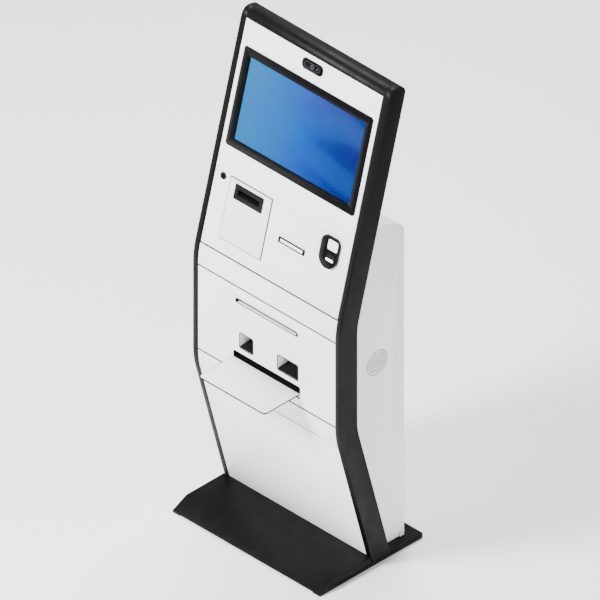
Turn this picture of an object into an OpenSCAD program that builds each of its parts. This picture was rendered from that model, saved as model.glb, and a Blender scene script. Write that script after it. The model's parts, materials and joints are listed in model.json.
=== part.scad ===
// Self-service cash kiosk: bent hoop frame, three-panel front, cabinet, base and equipment.
// X runs across the front, +Y runs to the back, +Z is up, and the floor is Z = 0.
// Places are written from the upright face plane (Y = 0) and moved at the end by place(),
// which puts the origin on the floor at the middle of the base.

/* [Overall] */
// Width over the two cheeks and the base
kiosk_w = 610; // [600:1:620]
// Lean of the upper and lower straights from upright, in degrees
tilt = 15; // [14:0.5:16]
// Radius of both bends of the front
bend_r = 300; // [280:5:320]
// Height of the lower end of the upright face
upright_low = 555; // [550:1:560]
// Height of the upper end of the upright face
upright_high = 857; // [852:1:862]

/* [Frame] */
// Width of each cheek across the front
cheek_w = 21; // [20:0.5:22]
// Depth of the hoop, square to its front line
hoop_d = 70.5; // [69:0.5:72]
// Length of the hoop above the upper bend
hoop_top = 763; // [760:1:766]
// Length of the upper front door above the upper bend
door_top = 731; // [729:1:731]
// Thickness of the folded frame sheet
frame_t = 3; // [2.5:0.5:3]

/* [Base] */
// Front edge of the base, from the upright face
base_front = -85; // [-90:1:-80]
// Back edge of the base, from the upright face
base_back = 341; // [336:1:346]
// Height of the top of the base plate
plate_top = 17.5; // [17:0.5:18]
// Height of the toe cover
toe_top = 34; // [33:0.5:35]
// Thickness of the floor pads
pad_t = 4; // [3:0.5:5]

/* [Cabinet] */
// Width of the cabinet behind the frame
cabinet_w = 544; // [540:1:548]
// Back of the cabinet, from the upright face
cabinet_back = 297; // [294:1:300]
// Fall of the cabinet roof, in degrees
roof_fall = 25; // [24:0.5:26]
// Height where the roof meets the back of the hoop
roof_high = 1197.6; // [1194:0.2:1200]
// Radius of the roof's rear corner
roof_r = 40; // [36:1:44]
// Thickness of the cabinet sheet
sheet_t = 2; // [1.5:0.5:2]

/* [Screen] */
// Width of the screen surround
bezel_w = 532; // [528:1:534]
// Height of the screen surround
bezel_h = 322; // [318:1:324]
// Height of the surround's middle above the upper bend
bezel_mid = 490; // [488:1:492]
// Width of the lit picture of a 21.5 inch panel
picture_w = 476; // [474:0.5:478]
// Height of the lit picture
picture_h = 268; // [266:0.5:270]

/* [Tray] */
// Width of the sheet tray
tray_w = 273; // [270:1:274]
// How far the tray stands out of the face
tray_out = 145; // [140:1:150]
// Height of the tray's top surface
tray_z = 601.5; // [600:0.5:603]

/* [Hidden] */
$fn = 48;
bend_steps = 10;
base_mid = (base_front + base_back) / 2;
half_w = kiosk_w / 2;
inner_w = half_w - cheek_w;
cab_x = cabinet_w / 2;
join_y = bend_r * (1 - cos(tilt));
join_rise = bend_r * sin(tilt);
upper_z = upright_high + join_rise;
lower_z = upright_low - join_rise;
fascia_t = 3;
flange_d = 24;
gap = 1.25;
foot_z = plate_top + sheet_t;
bolt_hole_r = 4.1;
hinge_in = 14;
hinge_deep = 8;
door_gap = 2.5;
door_x = inner_w - door_gap;
hinge_x = door_x - hinge_in;
front_hinge_ss = [90, 672];
knuckle_r = 4.5;
pin_r = 2.5;
run_gap = 0.05;
rear_x = 238.5;
rear_low = 62;
rear_high = 1058;
rear_hinge_x = rear_x - hinge_in;
rear_hinge_zs = [160, 900];
rear_knuckle_h = 40;
lens_mid = 699.3;
lock_x = -248;
lock_s = 230.5;
note_x = -135;
plate_mid = 144;
mouth_s = 207.5;
card_x = 57.5;
card_s = 139.5;
reader_x = 206;
reader_s = 186;
slip_z = 808;
flap_y = 9.5;
flap_z = 813.8;
flap_pin_r = 1.5;
pocket_z = 671;
pocket_h = 56;
card_pocket_x = -84.2;
card_pocket_w = 56.5;
receipt_pocket_x = 87.2;
receipt_pocket_w = 86.5;
pocket_d = 58;
tray_slot_w = 277;
tray_slot_low = 581.5;
tray_slot_high = 625;
tray_t = 3.5;
tray_in = 42;
speaker_y = 185.3;
speaker_z = 689;
speaker_r = 45;
grille_r = 3.1;
roll_y = 238;
roll_z = 502;
receipt_roll_y = 214;
receipt_roll_z = 730;
fan_z = 955;
fan_pin_r = 2;
handle_x = -212;
handle_z = 560;
white = "#f3f4f2";
black = "#17181a";
steel = "#b9bcc0";
dark = "#2b2d31";

// ---- Frames of reference ----

module place() translate([0, -base_mid, 0]) children();

// Local frame of the upper straight: y is depth behind its face, z is length above the bend.
module on_upper() place() translate([0, join_y, upper_z]) rotate([-tilt, 0, 0]) children();

// Extrudes a (Y, Z) outline across the width, from x0 to x1.
module across(x0, x1) translate([x0, 0, 0]) rotate([90, 0, 90]) linear_extrude(x1 - x0) children();

// Extrudes an (X, Z) outline from depth y0 to depth y1.
module inward(y0, y1) translate([0, y1, 0]) rotate([90, 0, 0]) linear_extrude(y1 - y0) children();

module block(x0, x1, y0, y1, z0, z1) translate([x0, y0, z0]) cube([x1 - x0, y1 - y0, z1 - z0]);

module rod_x(r, x0, x1, y, z) translate([x0, y, z]) rotate([0, 90, 0]) cylinder(h = x1 - x0, r = r);

module rod_y(r, x, y0, y1, z) translate([x, y0, z]) rotate([-90, 0, 0]) cylinder(h = y1 - y0, r = r);

module rod_z(r, x, y, z0, z1) translate([x, y, z0]) cylinder(h = z1 - z0, r = r);

// Rounded rectangle about (x, z), w wide and h high.
module rounded(x, z, w, h, r) translate([x, z]) {
    square([w - 2 * r, h], center = true);
    square([w, h - 2 * r], center = true);
    for (sx = [-1, 1], sz = [-1, 1]) translate([sx * (w / 2 - r), sz * (h / 2 - r)]) circle(r);
}

module square_at(x, z, w, h) translate([x, z]) square([w, h], center = true);

module ring(x, z, w, h, r, wall) difference() {
    rounded(x, z, w, h, r);
    rounded(x, z, w - 2 * wall, h - 2 * wall, max(r - wall, 0.5));
}

// ---- The bent front line ----

function bend(d, zc, a0, a1) = [for (i = [0 : bend_steps])
    let (a = a0 + (a1 - a0) * i / bend_steps)
    [bend_r - (bend_r - d) * cos(a), zc + (bend_r - d) * sin(a)]];

function lower_end(d, t) = [join_y + t * sin(tilt) + d * cos(tilt),
    lower_z - t * cos(tilt) + d * sin(tilt)];

function upper_end(d, t) = [join_y + t * sin(tilt) + d * cos(tilt),
    upper_z + t * cos(tilt) - d * sin(tilt)];

function front_line_open(d) = concat([lower_end(d, 520)], bend(d, upright_low, -tilt, 0),
    bend(d, upright_high, 0, tilt));

function front_line(d, down, up) = concat([lower_end(d, down)], bend(d, upright_low, -tilt, 0),
    bend(d, upright_high, 0, tilt), [upper_end(d, up)]);

function turned(points) = [for (i = [len(points) - 1 : -1 : 0]) points[i]];

// Band between depths d0 and d1, from down below the lower bend to up above the upper one.
module band(d0, d1, down, up) polygon(concat(front_line(d0, down, up),
    turned(front_line(d1, down, up))));

module above(z) translate([-500, z]) square([1500, 2000]);

// Arc about (d, s) in the plane of the upper straight.
function head_arc(d, s, r, a0, a1) = [for (i = [0 : 8])
    let (a = a0 + (a1 - a0) * i / 8) upper_end(d + r * cos(a), s + r * sin(a))];

// Side outline of the whole hoop, drawn in by inset.
module hoop(inset) polygon(concat(front_line_open(inset),
    head_arc(30, hoop_top - 30, 30 - inset, 180, 90),
    head_arc(hoop_d - 25, hoop_top - 25, 25 - inset, 90, 0),
    turned(front_line_open(hoop_d - inset))));

// Head of the hoop outline, from length s0 up.
module hoop_head(s0, inset) intersection() {
    hoop(inset);
    translate([join_y, upper_z]) rotate(-tilt) translate([-50, s0]) square([200, 200]);
}

// ---- Base ----

module base_plate() color(black) place() difference() {
    block(-half_w, half_w, -27, base_back, pad_t, plate_top);
    for (sx = [-1, 1], y = [base_mid - 60, base_mid + 130])
        rod_z(7, sx * 200, y, 0, 30);
    for (sx = [-1, 1]) rod_z(bolt_hole_r, sx * 240, 255, 0, 30);
    rod_z(30, 0, 230, 0, 30);
}

module toe_outline(inset) polygon([[base_front + inset, pad_t + inset],
    [base_front + inset, pad_t + 3 + inset * 0.4], [-27, toe_top - inset], [128, toe_top - inset],
    [128, plate_top + 0.2], [-27.3, plate_top + 0.2], [-27.3, pad_t + inset]]);

module toe_cover() color(black) place() difference() {
    across(-half_w, half_w) toe_outline(0);
    across(-half_w + 3, half_w - 3) translate([0, -1]) toe_outline(3);
    across(-half_w + 3, half_w - 3) translate([-26, plate_top]) square([150, toe_top - 20.5]);
}

module base_pads() color(dark) place() {
    for (sx = [-1, 1])
        block(sx * (half_w - 15) - 15, sx * (half_w - 15) + 15, base_front, base_back, 0, pad_t);
    block(-30, 30, 20, 200, 0, pad_t);
}

module base_bolts() color(steel) place() for (sx = [-1, 1]) translate([sx * 240, 255, 0]) {
    rod_z(6.5, 0, 0, foot_z + 4, foot_z + 10);
    rod_z(4, 0, 0, plate_top - 8, foot_z + 4);
}

// ---- Hoop frame ----

module cheek() difference() {
    across(-half_w, -inner_w) intersection() {
        hoop(0);
        above(plate_top);
    }
    across(-half_w + frame_t, -inner_w + 1) intersection() {
        hoop(frame_t);
        above(plate_top + frame_t);
    }
}

// The left cheek carries the keeper that the lock's cam turns behind.
module left_cheek() color(black) {
    place() cheek();
    on_upper() block(-half_w + 1, -inner_w - 3.5, 1, 18.6, lock_s - 12, lock_s + 12);
}

module right_cheek() color(black) place() mirror([1, 0, 0]) cheek();

module top_member() color(black) place() difference() {
    across(-inner_w, inner_w) hoop_head(door_top + 1, 0);
    across(-inner_w - 1, inner_w + 1) hoop_head(door_top + 1 + frame_t, frame_t);
    across(-inner_w + frame_t, inner_w - frame_t) translate([join_y, upper_z]) rotate(-tilt)
        translate([20, door_top]) square([hoop_d - 40, 2 + frame_t]);
}

// ---- Front panels ----

// Sheet of a fixed front panel with side flanges.
module front_sheet(x, down, up) {
    across(-x, x) band(0, fascia_t, down, up);
    for (sx = [-1, 1]) across(sx * (x - 1) - 1, sx * (x - 1) + 1) band(1, flange_d, down, up);
}

module face_cuts() inward(-5, 12) {
    rounded(0, slip_z, 259, 17, 8.4);
    rounded(card_pocket_x, pocket_z, card_pocket_w, pocket_h, 6);
    rounded(receipt_pocket_x, pocket_z, receipt_pocket_w, pocket_h, 6);
    rounded(0, (tray_slot_low + tray_slot_high) / 2, tray_slot_w, tray_slot_high - tray_slot_low, 7);
}

module middle_fascia() color(white) place() difference() {
    intersection() {
        front_sheet(inner_w - 0.3, 60, 60);
        across(-half_w, half_w) polygon([[-20, lower_z + gap], [60, lower_z + gap + 10],
            [60, upper_z - gap - 10], [-20, upper_z - gap]]);
    }
    face_cuts();
    for (z = [upright_low, upright_high]) across(-half_w, half_w)
        polygon([[-1, z - 1.2], [1.1, z], [-1, z + 1.2]]);
}

module lower_fascia() color(white) place() difference() {
    across(-inner_w + 0.3, inner_w - 0.3) intersection() {
        polygon([lower_end(0, gap), lower_end(0, 520), lower_end(flange_d, 520),
            lower_end(flange_d, gap)]);
        above(toe_top + 0.5);
    }
    across(-inner_w + 2.3, inner_w - 2.3) intersection() {
        polygon([lower_end(fascia_t, gap + 2), lower_end(fascia_t, 520),
            lower_end(flange_d + 1, 520), lower_end(flange_d + 1, gap + 2)]);
        above(toe_top + 2.5);
    }
}

module upper_fascia() color(white) on_upper() difference() {
    union() {
        block(-door_x - 1, door_x, 0, fascia_t, gap, door_top);
        block(-door_x - 1, -door_x + 1, 1, flange_d, gap, door_top);
        for (s = [gap, door_top - 2]) block(-door_x, hinge_x - 20, 1, flange_d, s, s + 2);
    }
    inward(-1, 10) {
        rounded(0, bezel_mid, bezel_w - 12, bezel_h - 12, 6);
        rounded(0, lens_mid, 76, 25, 10);
        translate([lock_x, lock_s]) circle(9.5);
        rounded(note_x, mouth_s, 112, 45, 2);
        rounded(card_x, card_s, 101, 12.5, 2);
        rounded(reader_x, reader_s, 52, 84, 24);
    }
    block(-door_x - 2, -door_x + 2, 17, flange_d + 1, lock_s - 10, lock_s + 44);
}

// Rear cover of the hoop above the cabinet roof, with a field of vent slots.
module back_cover() color(white) on_upper() difference() {
    block(-inner_w + 0.5, inner_w - 0.5, hoop_d - 14, hoop_d - 1, 296, door_top);
    block(-inner_w + 2.5, inner_w - 2.5, hoop_d - 15, hoop_d - 3, 298, door_top - 2);
    for (i = [-5 : 5], s = [380, 600]) inward(hoop_d - 20, hoop_d + 2)
        rounded(i * 16, s, 5, 60, 2.4);
}

// ---- Upper door equipment ----

module display_bezel() color(black) on_upper() {
    inward(-2, 0) ring(0, bezel_mid, bezel_w, bezel_h, 10, (bezel_w - picture_w) / 2 - 1);
    inward(0, 5) ring(0, bezel_mid, bezel_w - 13, bezel_h - 13, 5.5, 5);
}

module display_glass() color([0.6, 0.7, 0.8, 0.4]) on_upper()
    block(-picture_w / 2 - 15, picture_w / 2 + 15, 0.2, 3.2, bezel_mid - picture_h / 2 - 15,
        bezel_mid + picture_h / 2 + 15);

module lcd_panel() color("#1277d8") on_upper()
    block(-picture_w / 2 - 10, picture_w / 2 + 10, 3.4, 15, bezel_mid - picture_h / 2 - 10,
        bezel_mid + picture_h / 2 + 10);

module display_housing() color(dark) on_upper() difference() {
    block(-252, 252, 3.2, 46, bezel_mid - 149, bezel_mid + 149);
    block(-250, 250, 3, 44, bezel_mid - 147, bezel_mid + 147);
    for (i = [-6 : 6]) inward(40, 50) rounded(i * 18, bezel_mid + 60, 6, 50, 2.9);
}

module camera_window() color(black) on_upper() {
    inward(-2.5, 0) rounded(0, lens_mid, 85, 35.5, 15);
    inward(0, 6) rounded(0, lens_mid, 75, 24, 10);
}

module camera_module() color(dark) on_upper() {
    block(-34, 34, 6.2, 10, lens_mid - 11, lens_mid + 11);
    rod_y(9, 0, 10, 30, lens_mid);
}

module lock_body() color(black) on_upper() difference() {
    union() {
        rod_y(11.3, lock_x, -2.5, 0, lock_s);
        rod_y(9.4, lock_x, 0, 18, lock_s);
    }
    rod_y(6.55, lock_x, -5, 20, lock_s);
}

module lock_plug() color(dark) on_upper() difference() {
    union() {
        rod_y(6.5, lock_x, -2, 18.3, lock_s);
        rod_y(4, lock_x, 18.3, 24, lock_s);
    }
    block(lock_x - 1.2, lock_x + 1.2, -3, 4, lock_s - 4, lock_s + 4);
}

module lock_cam() color(steel) on_upper() difference() {
    union() {
        block(lock_x - 7, lock_x + 7, 19, 21.5, lock_s, lock_s + 44);
        rod_y(7, lock_x, 19, 21.5, lock_s);
    }
    rod_y(4, lock_x, 18, 25, lock_s);
}

module acceptor_plate() color(white) on_upper() difference() {
    inward(-3, 0) rounded(note_x + 2, plate_mid, 168, 196, 2);
    inward(-5, 2) rounded(note_x, mouth_s, 113, 46, 2);
}

module acceptor_mouth() color(black) on_upper() difference() {
    union() {
        inward(-5, -3) rounded(note_x, mouth_s, 116, 49, 2.5);
        inward(-3, 22) rounded(note_x, mouth_s, 111, 44, 2);
    }
    across(note_x - 44, note_x + 44) polygon([[-6, mouth_s - 10], [8, mouth_s - 4],
        [23, mouth_s - 4], [23, mouth_s + 4], [8, mouth_s + 4], [-6, mouth_s + 10]]);
}

module card_bezel() color(black) on_upper() difference() {
    union() {
        inward(-3, 0) rounded(card_x, card_s, 107, 18, 1.5);
        inward(0, 8) rounded(card_x, card_s, 100, 12, 1.5);
    }
    inward(-4, 1) rounded(card_x, card_s, 91, 9, 1);
    inward(0, 10) rounded(card_x, card_s, 88, 2.4, 1);
}

module card_reader() color(dark) on_upper() difference() {
    block(card_x - 52, card_x + 52, 8.3, 78, card_s - 22, card_s + 24);
    inward(8, 60) rounded(card_x, card_s, 88, 2.4, 1);
}

// Egg-shaped outline of the contactless reader, wider at its top.
module reader_outline(inset) translate([reader_x, reader_s]) {
    for (sx = [-1, 1]) translate([sx * 14, 30]) circle(21.5 - inset);
    translate([-14, 10]) square([28, 41.5 - inset]);
    translate([-35.5 + inset, -14]) square([71 - 2 * inset, 44]);
    translate([0, -14]) circle(35.5 - inset);
}

module reader_shell() color(black) on_upper() difference() {
    union() {
        inward(-10, 0) reader_outline(0);
        inward(0, 22) rounded(reader_x, reader_s, 50, 82, 23);
    }
    inward(-11, -7) rounded(reader_x + 12, reader_s + 28, 40, 33, 6);
    inward(-11, -8) rounded(reader_x + 8, reader_s - 20, 31, 9, 4);
}

module reader_window() color("#dfe9ec") on_upper()
    inward(-9.8, -7) rounded(reader_x + 12, reader_s + 28, 39.6, 32.6, 5.8);

module reader_light() color("#ffffff") on_upper()
    inward(-9.8, -8) rounded(reader_x + 8, reader_s - 20, 30.6, 8.6, 3.8);

// ---- Upper door hinges ----

module knuckle_rod(r, s0, s1) rod_z(r, hinge_x, hinge_deep, s0, s1);

module door_knuckles() color(steel) on_upper() for (s = front_hinge_ss) difference() {
    union() {
        knuckle_rod(knuckle_r, s, s + 24);
        block(hinge_x - 22, hinge_x, fascia_t, 6, s, s + 24);
    }
    knuckle_rod(pin_r + run_gap, s - 1, s + 25);
}

// Fixed halves of the hinges: the front pair on the right cheek, the rear pair on the cabinet wall.
module hinge_brackets() color(steel) {
    on_upper() for (s = front_hinge_ss) difference() {
        for (e = [s - 13, s + 25]) {
            knuckle_rod(knuckle_r, e, e + 12);
            block(hinge_x - 4, hinge_x + 1, hinge_deep, 31, e, e + 12);
            block(hinge_x - 4, half_w - frame_t, 28, 31, e, e + 12);
        }
        knuckle_rod(pin_r, s - 20, s + 45);
    }
    place() for (z = rear_hinge_zs) difference() {
        for (e = [z - 13, z + rear_knuckle_h + 1]) {
            rear_knuckle(e, e + 12, knuckle_r);
            block(rear_hinge_x - 4, rear_hinge_x + 1, cabinet_back - 31, cabinet_back - hinge_deep,
                e, e + 12);
            block(rear_hinge_x - 4, cab_x - sheet_t, cabinet_back - 31, cabinet_back - 28,
                e, e + 12);
        }
        rear_knuckle(z - 20, z + rear_knuckle_h + 20, pin_r);
    }
}

module hinge_pins() color(steel) {
    on_upper() for (s = front_hinge_ss) {
        knuckle_rod(pin_r, s - 14, s + 38);
        knuckle_rod(4, s + 38, s + 40);
    }
    place() for (z = rear_hinge_zs) {
        rear_knuckle(z - 14, z + rear_knuckle_h + 14, pin_r);
        rear_knuckle(z + rear_knuckle_h + 14, z + rear_knuckle_h + 16, 4);
    }
}

// ---- Middle panel equipment ----

module document_bezel() color(black) place() difference() {
    union() {
        inward(-1.5, 6) ring(0, slip_z, 258, 16.4, 8.1, 3.2);
        for (sx = [-1, 1])
            block(sx * 126.6 - 1.6, sx * 126.6 + 1.6, 5.9, 14, slip_z - 6, slip_z + 8);
    }
    rod_x(flap_pin_r + run_gap, -130, 130, flap_y, flap_z);
}

module document_flap() color(white) place() {
    block(-123, 123, flap_y - 0.8, flap_y + 0.8, slip_z - 5.6, flap_z);
    rod_x(flap_pin_r, -127.5, 127.5, flap_y, flap_z);
}

module document_scanner() color(dark) place() difference() {
    block(-150, 150, 26, 112, 776, 846);
    block(-118, 118, 25, 60, slip_z - 4, slip_z + 4);
}

// Pick-up tunnel: open at the front, closed by its own side walls and roof.
module pocket(x, w) difference() {
    inward(0.6, pocket_d) rounded(x, pocket_z, w - 0.6, pocket_h - 0.6, 5.7);
    inward(-1, pocket_d + 1) rounded(x, pocket_z, w - 4.6, pocket_h - 4.6, 4);
    inward(-1, pocket_d + 1) rounded(x, pocket_z - 20, w - 4.6, 20, 1);
    inward(pocket_d - 4.5, pocket_d + 1) square_at(x, pocket_z, w - 4.6, pocket_h - 4.6);
    block(x - w, x + w, 6, pocket_d + 1, pocket_z - pocket_h, pocket_z - pocket_h / 2 + 3);
}

// Delivery chute: floor lip, sloping floor and rear wall with the delivery slit.
module chute(x, w, slit_h) difference() {
    across(x - w / 2 + 2.4, x + w / 2 - 2.4) polygon([[1.5, 645.4], [1.5, 650], [40, 653],
        [pocket_d - 4, 660], [pocket_d - 4, 696], [pocket_d - 0.5, 696], [pocket_d - 0.5, 645.4]]);
    inward(pocket_d - 6, pocket_d + 2) rounded(x, 678, w - 14, slit_h, 1.2);
}

module card_pocket() color(white) place() pocket(card_pocket_x, card_pocket_w);

module receipt_pocket() color(white) place() pocket(receipt_pocket_x, receipt_pocket_w);

module pocket_chutes() color(black) place() {
    chute(card_pocket_x, card_pocket_w, 4);
    chute(receipt_pocket_x, receipt_pocket_w, 5);
}

module card_dispenser() color(dark) place() {
    block(card_pocket_x - 36, card_pocket_x + 36, pocket_d + 0.5, 175, 641, 700);
    difference() {
        block(card_pocket_x - 32, card_pocket_x + 32, 80, 172, 700, 768);
        block(card_pocket_x - 29, card_pocket_x + 29, 83, 169, 704, 770);
    }
}

module receipt_printer() color(dark) place() difference() {
    union() {
        block(receipt_pocket_x - 54, receipt_pocket_x + 54, pocket_d + 0.5, 164, 641, 740);
        for (sx = [-1, 1]) translate([receipt_pocket_x + sx * 44, 0, 0])
            block(-2, 2, 160, receipt_roll_y + 8, 700, receipt_roll_z + 8);
    }
    rod_x(4.05, receipt_pocket_x - 60, receipt_pocket_x + 60, receipt_roll_y, receipt_roll_z);
}

module receipt_roll() color("#fbfbf7") place() {
    rod_x(39, receipt_pocket_x - 40, receipt_pocket_x + 40, receipt_roll_y, receipt_roll_z);
    rod_x(4, receipt_pocket_x - 47, receipt_pocket_x + 47, receipt_roll_y, receipt_roll_z);
}

module tray() color(white) place() translate([0, 0, tray_z - tray_t]) linear_extrude(tray_t) {
    rounded(0, (tray_in - tray_out) / 2, tray_w, tray_in + tray_out, 13);
    translate([-tray_w / 2, tray_in - 20]) square([tray_w, 20]);
}

module tray_guide() color(white) place() difference() {
    block(-135, 135, 3.5, 196, tray_slot_low + 2, tray_z - tray_t - 0.5);
    block(-125, 125, 6, 197, tray_slot_low + 1, tray_z - tray_t - 2.5);
    block(-110, 110, 60, 180, tray_slot_low, tray_z);
}

module slot_liner() color(black) place() difference() {
    union() {
        inward(0.6, 56) rounded(0, (tray_slot_low + tray_slot_high) / 2, tray_slot_w - 0.6,
            tray_slot_high - tray_slot_low - 0.6, 6.7);
        for (sx = [-1, 1]) block(sx * 145 - 8, sx * 145 + 8, 3.2, 5, 584, 622);
    }
    inward(-1, 58) rounded(0, (tray_slot_low + tray_slot_high) / 2, tray_slot_w - 3,
        tray_slot_high - tray_slot_low - 3, 4);
}

module sheet_printer() color(dark) place() difference() {
    block(-150, 150, 198, 284, 562, 678);
    block(-112, 112, 197, 240, tray_z + 3, tray_z + 11);
}

module printer_stand() color(steel) place() difference() {
    union() {
        for (sx = [-1, 1]) block(sx * 126 - 1.5, sx * 126 + 1.5, 196, 284, 440, 560);
        block(-150, 150, 196, 284, 559, 562);
        for (sx = [-1, 1]) block(sx * 134 - 9, sx * 134 + 9, 196, 268, 438, 441);
    }
    rod_x(6.05, -140, 140, roll_y, roll_z);
}

module sheet_roll() color("#fbfbf7") place() {
    rod_x(43, -108, 108, roll_y, roll_z);
    rod_x(6, -131, 131, roll_y, roll_z);
}

// ---- Cash equipment ----

module banknote_validator() color(dark) {
    place() block(note_x - 50, note_x + 50, 112, 238, 1062, 1146);
    on_upper() difference() {
        block(note_x - 48, note_x + 48, 24, 70, 165, 232);
        block(note_x - 43, note_x + 43, 23, 60, mouth_s - 3, mouth_s + 3);
    }
}

module note_cassette() color("#4a4d52") place() {
    block(note_x - 48, note_x + 48, 118, 236, 860.3, 1061);
    difference() {
        block(note_x - 30, note_x + 30, 236, 256, 960, 972);
        block(note_x - 24, note_x + 24, 235, 250, 959, 973);
    }
}

// ---- Chassis ----

module shelf(y0, y1, z) difference() {
    block(-cab_x + 2.3, cab_x - 2.3, y0, y1, z - 20, z);
    block(-cab_x + 4.3, cab_x - 4.3, y0 + 2, y1 - 2, z - 21, z - 2);
    for (sx = [-1, 1]) block(sx * 215 - 25, sx * 215 + 25, y1 - 45, y1 - 20, z - 5, z + 5);
}

module equipment_shelves() color(steel) place() {
    shelf(98, 270, 300);
    shelf(74, 270, 438);
    difference() {
        block(-cab_x + 2.3, cab_x - 2.3, 62, 186, 636, 641);
        block(-60, 40, 100, 160, 630, 650);
        block(222, cab_x, 120, 190, 630, 650);
    }
    shelf(116, 260, 860);
    for (sx = [-1, 1]) block(note_x + sx * 53 - 1.5, note_x + sx * 53 + 1.5, 118, 236, 860, 1140);
}

module computer() color(dark) place() {
    block(-210, 20, 102, 266, 300, 366);
    for (i = [0 : 9]) block(-190 + i * 20, -182 + i * 20, 110, 258, 366, 368);
}

module power_supply() color(steel) place() {
    block(70, 200, 110, 264, 300, 352);
    for (i = [0 : 7]) block(78 + i * 15, 84 + i * 15, 118, 256, 352, 354);
}

// ---- Cabinet ----

roof_tan = tan(roof_fall);
function roof_line(y) = roof_high - (y - 154) * roof_tan;

// Side outline of the cabinet, drawn in by inset at its roof, back and foot.
module cabinet_outline(inset, reach) {
    r = roof_r - inset;
    cy = cabinet_back - roof_r;
    cz = roof_line(cy) - roof_r / cos(roof_fall);
    drop = inset / cos(roof_fall);
    polygon(concat(
        [[lower_end(hoop_d, 0)[0] + reach + 130, plate_top + inset]],
        [[cabinet_back - inset, plate_top + inset]],
        [for (i = [0 : 8]) let (a = i * (90 - roof_fall) / 8) [cy + r * cos(a), cz + r * sin(a)]],
        [[upper_end(hoop_d, 292)[0] + reach, roof_line(upper_end(hoop_d, 292)[0] + reach) - drop]],
        turned(front_line(hoop_d + reach, 430, 200))));
}

module cabinet_shell() color(white) place() difference() {
    union() {
        intersection() {
            across(-cab_x, cab_x) cabinet_outline(0, 0);
            across(-cab_x, cab_x) above(plate_top);
        }
        for (sx = [-1, 1]) across(sx * (cab_x + 12.5) - 12.5, sx * (cab_x + 12.5) + 12.5)
            intersection() {
                band(hoop_d, hoop_d + sheet_t, 520, 290);
                above(plate_top + 1);
            }
    }
    across(-cab_x + sheet_t, cab_x - sheet_t) cabinet_outline(sheet_t, -12);
    block(-rear_x - door_gap, rear_x + door_gap, cabinet_back - 5, cabinet_back + 5,
        rear_low - door_gap, rear_high + door_gap);
    for (sx = [-1, 1]) block(sx * cab_x - 5, sx * cab_x + 5, 215, 281, 10, plate_top + 16);
    rod_x(speaker_r + 1.5, cab_x - 5, cab_x + 5, speaker_y, speaker_z);
    inward(cabinet_back - 5, cabinet_back + 5) rounded(-180, 40, 28.4, 20.4, 3);
    for (sx = [-1, 1]) rod_z(bolt_hole_r, sx * 240, 255, 10, 30);
    rod_z(31, 0, 230, 10, 30);
}

// Button-head screws that hold the cabinet flanges to the cheeks.
module cabinet_screws() color(steel) place() for (sx = [-1, 1]) {
    for (z = [600, 720, 830]) rod_y(4.5, sx * 291, hoop_d + 2, hoop_d + 4.5, z);
    for (t = [80, 210, 340]) translate([0, lower_end(hoop_d + 2, t)[0], lower_end(hoop_d + 2, t)[1]])
        rotate([tilt, 0, 0]) rod_y(4.5, sx * 291, 0, 2.5, 0);
    for (s = [60, 160, 260]) translate([0, upper_end(hoop_d + 2, s)[0], upper_end(hoop_d + 2, s)[1]])
        rotate([-tilt, 0, 0]) rod_y(4.5, sx * 291, 0, 2.5, 0);
}

module foot_brackets() color(white) place() for (sx = [-1, 1]) difference() {
    union() {
        block(sx * 267.5 - 2, sx * 267.5 + 2, 218, 279, foot_z, foot_z + 38);
        block(sx * 247 - 20, sx * 247 + 20, 218, 279, foot_z, foot_z + 4);
    }
    rod_z(bolt_hole_r, sx * 240, 255, foot_z - 1, foot_z + 6);
}

module speaker_grille() color(white) place() difference() {
    union() {
        rod_x(speaker_r + 1.2, cab_x - 2, cab_x, speaker_y, speaker_z);
        rod_x(speaker_r + 5, cab_x - 3.5, cab_x - 2, speaker_y, speaker_z);
    }
    rod_x(speaker_r - 0.3, cab_x - 5, cab_x - 1.9, speaker_y, speaker_z);
    rod_x(grille_r, cab_x - 5, cab_x + 1, speaker_y, speaker_z);
    for (k = [1 : 5], i = [0 : 6 * k - 1]) rod_x(grille_r, cab_x - 5, cab_x + 1,
        speaker_y + 8.2 * k * cos(i * 60 / k), speaker_z + 8.2 * k * sin(i * 60 / k));
}

module speaker_driver() color(dark) place() {
    rod_x(speaker_r + 4, cab_x - 10, cab_x - 3.6, speaker_y, speaker_z);
    rod_x(34, cab_x - 28, cab_x - 10, speaker_y, speaker_z);
    rod_x(24, cab_x - 44, cab_x - 28, speaker_y, speaker_z);
}

module power_inlet() color(black) place() difference() {
    union() {
        inward(cabinet_back, cabinet_back + 2) rounded(-180, 40, 34, 26, 3);
        inward(cabinet_back - 26, cabinet_back) rounded(-180, 40, 28, 20, 2.8);
    }
    inward(cabinet_back - 14, cabinet_back + 3) rounded(-180, 40, 24, 16, 2);
}

// ---- Rear door ----

module rear_knuckle(z0, z1, r) rod_z(r, rear_hinge_x, cabinet_back - hinge_deep, z0, z1);

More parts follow.
